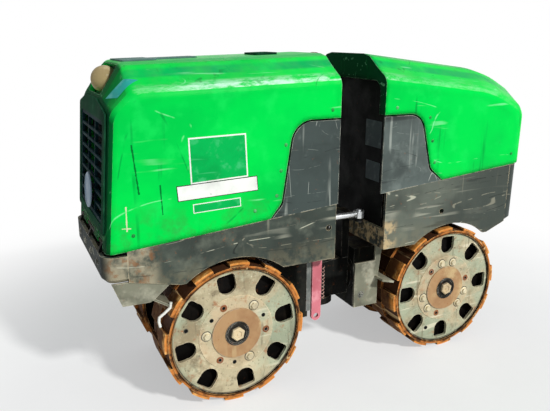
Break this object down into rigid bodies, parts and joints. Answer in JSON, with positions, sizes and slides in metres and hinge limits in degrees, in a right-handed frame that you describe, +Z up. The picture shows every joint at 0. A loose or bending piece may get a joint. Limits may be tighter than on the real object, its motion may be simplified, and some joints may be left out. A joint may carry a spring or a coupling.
{
  "type": "trench roller",
  "caption": "Articulated walk-behind trench compactor with padded steel drums, two steel half frames on a central pivot, and lifting moulded hoods.",
  "frame": {"origin": "on the ground, at the middle of the machine's length and width", "axes": "+X towards the sloping nose half, +Y to the machine's left, +Z up"},
  "size_m": [1.82, 0.56, 1.2654],
  "materials": {
    "hood_green": "sun-faded satin",
    "frame_grey": "scratched paint over steel",
    "panel_dark": "worn satin paint",
    "drum_rust": "light rust and dirt",
    "disc_grey": "dusty paint",
    "hub_tan": "rusted paint",
    "axle_steel": "oiled",
    "pivot_black": "greasy matt paint",
    "scraper_grey": "bare worn steel",
    "lock_red": "chipped gloss paint",
    "rod_chrome": "polished",
    "cylinder_black": "semi-gloss paint",
    "grille_black": "dusty",
    "dome_amber": "smoked, smooth",
    "bezel_black": "weathered",
    "strip_grey": "dull, dusty",
    "engine_grey": "cast"
  },
  "bodies": {
    "engine_half": {"engine_frame": "frame_grey", "engine_keel": "pivot_black", "engine_bumper": "frame_grey", "engine_hinge": "pivot_black", "engine_bulkhead": "panel_dark", "engine_block": "engine_grey", "lifting_eye": "panel_dark", "lock_bar": "lock_red", "pivot_yoke_lower": "pivot_black", "pivot_yoke_upper": "pivot_black", "pivot_pin": "axle_steel", "barrel_bracket": "pivot_black", "engine_panel_left": "panel_dark", "engine_panel_right": "panel_dark", "engine_scraper_left": "scraper_grey", "engine_scraper_right": "scraper_grey"},
    "engine_drums": {"engine_drum_left": "drum_rust", "engine_drum_right": "drum_rust", "engine_disc_left": "disc_grey", "engine_disc_right": "disc_grey", "engine_hub_left": "hub_tan", "engine_hub_right": "hub_tan", "engine_axle": "axle_steel"},
    "engine_lid": {"engine_hood": "hood_green", "engine_grille": "grille_black", "engine_bezel": "bezel_black", "receiver_dome": "dome_amber", "roof_strip": "strip_grey", "exhaust_outlet": "bezel_black"},
    "swivel": {"swivel_block": "pivot_black", "steering_arm": "pivot_black"},
    "nose_half": {"nose_frame": "frame_grey", "nose_keel": "pivot_black", "nose_bumper": "frame_grey", "nose_hinge": "pivot_black", "nose_bulkhead": "panel_dark", "nose_panel_left": "panel_dark", "nose_panel_right": "panel_dark", "nose_scraper_left": "scraper_grey", "nose_scraper_right": "scraper_grey"},
    "nose_drums": {"nose_drum_left": "drum_rust", "nose_drum_right": "drum_rust", "nose_disc_left": "disc_grey", "nose_disc_right": "disc_grey", "nose_hub_left": "hub_tan", "nose_hub_right": "hub_tan", "nose_axle": "axle_steel"},
    "nose_lid": {"nose_hood": "hood_green"},
    "cylinder_barrel": {"steering_barrel": "cylinder_black"},
    "cylinder_rod": {"steering_rod": "rod_chrome"}
  },
  "joints": [
    {"name": "engine_drums_roll", "type": "hinge", "parent": "engine_half", "child": "engine_drums", "pos_m": [-0.45, 0, 0.273], "axis": [0, 1, 0], "continuous": true},
    {"name": "nose_drums_roll", "type": "hinge", "parent": "nose_half", "child": "nose_drums", "pos_m": [0.526, 0, 0.273], "axis": [0, 1, 0], "continuous": true},
    {"name": "steering", "type": "hinge", "parent": "engine_half", "child": "swivel", "pos_m": [0.038, 0, 0.315], "axis": [0, 0, 1], "range_deg": [-30, 30]},
    {"name": "oscillation", "type": "hinge", "parent": "swivel", "child": "nose_half", "pos_m": [0.183, 0, 0.315], "axis": [1, 0, 0], "range_deg": [-8, 8]},
    {"name": "engine_hood_lift", "type": "hinge", "parent": "engine_half", "child": "engine_lid", "pos_m": [-0.89123, 0, 0.66014], "axis": [0, -1, 0], "range_deg": [0, 60]},
    {"name": "nose_hood_lift", "type": "hinge", "parent": "nose_half", "child": "nose_lid", "pos_m": [0.901, 0, 0.82323], "axis": [0, 1, 0], "range_deg": [0, 60]},
    {"name": "barrel_swing", "type": "hinge", "parent": "engine_half", "child": "cylinder_barrel", "pos_m": [-0.29, -0.16, 0.625], "axis": [0, 0, 1], "range_deg": [-6.8, 6.8]},
    {"name": "rod_slide", "type": "slide", "parent": "cylinder_barrel", "child": "cylinder_rod", "axis": [1, 0, 0], "range_m": [-0.0835, 0.0835]}
  ],
  "couplings": [
    {"joint": "barrel_swing", "follows": "steering", "ratio": 0.222},
    {"joint": "rod_slide", "follows": "steering", "m_per_rad": 0.1566}
  ]
}
